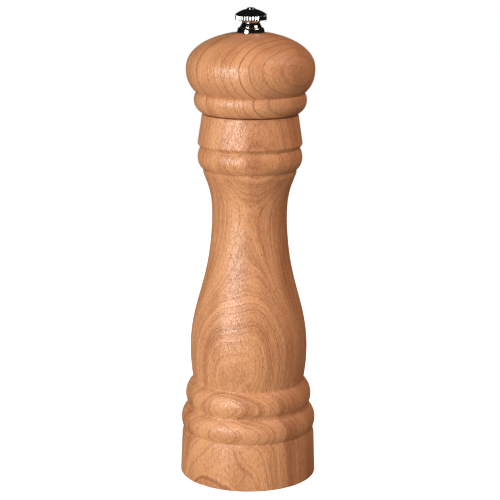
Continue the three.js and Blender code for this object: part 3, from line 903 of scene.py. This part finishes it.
def screw_rule(radius, height, angle):
    """A screw's shank: narrow between the turns of a sharp, widely spaced thread."""
    if height < 1.3 * MM or radius < 0.3 * MM:
        return radius
    phase = (height / MM / SCREW_PITCH - angle / FULL_TURN) % 1.0
    ridge = max(0.0, 1 - abs(phase - 0.5) * 5)
    return radius * (0.78 + 0.22 * ridge)


def screw(name, node, lift_mm):
    """A screw that points up, with its head at the bottom of its CAD node."""
    low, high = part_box(node)
    dome = [(0, 0), (0.7, 0.0), (1.3, 0.06), (1.8, 0.22), (2.15, 0.48), (2.3, 0.8), (2.28, 1.1)]
    head = corners(*dome, (1.2, 1.1))
    shank = corners((1.2, 1.3), (1.2, 6.2), (0.0, 8.6))
    outline = head + divided(shank, 0.14, closed=False)
    crossed = cut(spun_mesh(name, outline, 40, screw_rule), cross_cutter())
    middle = (low + high) / 2
    crossed.transform(Matrix.Translation((middle.x, middle.y, low.z + lift_mm * MM)))
    finished_object(name, crossed, zinc, node, "zinc_steel", 35)


for number in (1, 2, 3):
    screw(f"flange_screw_{number}", f"stator_screw_{number}", 0.25)
for number in (1, 2):
    screw(f"plate_screw_{number}", f"drive_plate_screw_{number}", 0.5)
print("screws:", len(FLANGE_SPOTS) + len(PLATE_SPOTS))

# %% [markdown]
# ## The spring
# The spring pushes the rotor down, away from the stator. Its end turns lie flat and close
# so that it stands square on its seat. Raising the rotor shortens it, but this coil is made
# at one length only.

# %% Spring
SPRING_LOW = 18.55
SPRING_HIGH = 26.15
WIRE = 0.45
COIL = 5.6
END_TURNS = 1.0
OPEN_TURNS = 3.5


def coil_point(turns):
    """The middle of the wire after so many turns from the bottom."""
    end_rise = 2 * WIRE * 1.02
    whole = SPRING_HIGH - SPRING_LOW - 2 * WIRE
    open_rise = (whole - 2 * end_rise * END_TURNS) / OPEN_TURNS
    rise = end_rise * min(turns, END_TURNS)
    rise += open_rise * min(max(turns - END_TURNS, 0.0), OPEN_TURNS)
    rise += end_rise * max(turns - END_TURNS - OPEN_TURNS, 0.0)
    angle = FULL_TURN * turns
    return Vector((COIL * math.cos(angle), COIL * math.sin(angle), SPRING_LOW + WIRE + rise)) * MM


def coiled_mesh(steps_per_turn=48):
    curve = bpy.data.curves.new("coil", "CURVE")
    curve.dimensions = "3D"
    curve.bevel_depth = WIRE * MM
    curve.bevel_resolution = 4
    curve.use_fill_caps = True
    count = round((2 * END_TURNS + OPEN_TURNS) * steps_per_turn)
    spline = curve.splines.new("POLY")
    spline.points.add(count)
    for index, point in enumerate(spline.points):
        point.co = (*coil_point(index / steps_per_turn), 1)
    mesh = mesh_of(curve)
    mesh.polygons.foreach_set("use_smooth", [True] * len(mesh.polygons))
    return mesh


spring = finished_object("coil_spring", coiled_mesh(), wire_steel, "spring", "spring_steel")
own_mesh(spring)
print("spring turns:", 2 * END_TURNS + OPEN_TURNS)

# %% [markdown]
# ## Floor and lights
# The mill stands on a plain white table in a dark studio. A table lit to full white
# needs no horizon, so this one fades out where it is far from the mill, into a world that
# is white to the camera and dim to everything else. A tall softbox on the left draws the
# long highlight, and a warm one, high on the right, keeps the shaded side readable.

# %% The stage
TABLE_RADIUS = 0.9


def white_table():
    grid = bmesh.new()
    bmesh.ops.create_circle(grid, cap_ends=True, segments=96, radius=TABLE_RADIUS)
    mesh = bpy.data.meshes.new("white_table")
    grid.to_mesh(mesh)
    grid.free()
    f = Finish("white_table")
    x, y, z = f.place()
    away = (x**2 + y**2) ** 0.5 * MM
    mottle = f.noise(x / 40, y / 40, z, detail=2.0)
    mesh.materials.append(
        f.surface(
            Base_Color=f.blend(mottle, shade(0.93, 0.93, 0.93), shade(0.95, 0.95, 0.95)),
            Roughness=0.9,
            Specular_IOR_Level=0.1,
            Emission_Color=shade(1, 1, 1),
            Emission_Strength=0.85,
            Alpha=1 - away.rises(0.3, 0.88),
        )
    )
    table = bpy.data.objects.new("white_table", mesh)
    bpy.context.scene.collection.objects.link(table)
    # It glows, so it is kept out of other surfaces' light and out of the chrome.
    table.visible_diffuse = False
    table.visible_glossy = False
    table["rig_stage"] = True


white_table()


def softbox(name, azimuth, elevation, distance, size, radiance, tint):
    """A soft light that faces the middle of the mill. Azimuth is degrees to the right of
    the front, and radiance is how bright its face is."""
    light = bpy.data.lights.new(name, "AREA")
    light.shape = "RECTANGLE"
    light.size, light.size_y = size
    light.energy = radiance * math.pi * light.size * light.size_y
    light.color = tint
    holder = bpy.data.objects.new(name, light)
    bpy.context.scene.collection.objects.link(holder)
    a, e = math.radians(azimuth), math.radians(elevation)
    away = Vector((math.sin(a) * math.cos(e), -math.cos(a) * math.cos(e), math.sin(e)))
    holder.location = Vector((0, 0, 0.1)) + away * distance
    holder.rotation_euler = away.to_track_quat("Z", "Y").to_euler()
    holder.visible_camera = False
    return holder


softbox("key_softbox", -38, 10, 0.85, (0.36, 0.46), 16.0, (1.0, 1.0, 1.0))
softbox("fill_softbox", 68, 50, 0.9, (0.35, 0.35), 9.0, (1.0, 0.72, 0.62))
back = softbox("back_softbox", 180, 24, 0.9, (0.5, 0.4), 2.5, (1.0, 1.0, 1.0))
back.visible_glossy = False


def studio_world(seen, bounced, mirrored):
    """A world that is white to the camera, dim and warm to matt things, and nearly black
    in mirrors, as a dark studio is."""
    world = bpy.data.worlds.new("studio")
    bpy.context.scene.world = world
    world.use_nodes = True
    tree = world.node_tree
    tree.nodes.clear()
    rays = tree.nodes.new("ShaderNodeLightPath")
    chosen = None
    for ray, colour in ((None, bounced), ("Is Glossy Ray", mirrored), ("Is Camera Ray", seen)):
        background = tree.nodes.new("ShaderNodeBackground")
        background.inputs["Color"].default_value = shade(*colour)
        if chosen is None:
            chosen = background
            continue
        choice = tree.nodes.new("ShaderNodeMixShader")
        tree.links.new(rays.outputs[ray], choice.inputs["Fac"])
        tree.links.new(chosen.outputs[0], choice.inputs[1])
        tree.links.new(background.outputs[0], choice.inputs[2])
        chosen = choice
    output = tree.nodes.new("ShaderNodeOutputWorld")
    tree.links.new(chosen.outputs[0], output.inputs["Surface"])


studio_world((1.0, 1.0, 1.0), (0.35, 0.28, 0.25), (0.012, 0.012, 0.012))

# %% [markdown]
# ## The camera
# A long lens, about two thirds of a metre away, looks a little down on the mill. From so
# far off the sides stay nearly parallel, as they do in a catalogue picture.

# %% The camera
camera_data = bpy.data.cameras.new("camera")
camera_data.sensor_width = 36.0
camera_data.lens = 115.2
camera = bpy.data.objects.new("camera", camera_data)
bpy.context.scene.collection.objects.link(camera)
PITCH = math.radians(12.64)
ROLL = math.radians(0.42)
turn = Matrix.Rotation(math.radians(90) - PITCH, 4, "X") @ Matrix.Rotation(ROLL, 4, "Z")
camera.matrix_world = Matrix.Translation((0.0003, -0.6737, 0.2504)) @ turn
bpy.context.scene.camera = camera
bpy.context.scene.view_settings.view_transform = "Standard"
print(f"lens: {camera_data.lens} mm, pitched down {math.degrees(PITCH):.2f} degrees")

# %% [markdown]
# ## Sizes
# The fine pieces must be as large as the CAD pieces that they stand for, so the size of the
# fine pieces is printed here.

# %% Sizes, and the end
visual_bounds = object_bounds()
low, high = visual_bounds
print("visual size in mm:", [round((b - a) / MM, 2) for a, b in zip(low, high)])
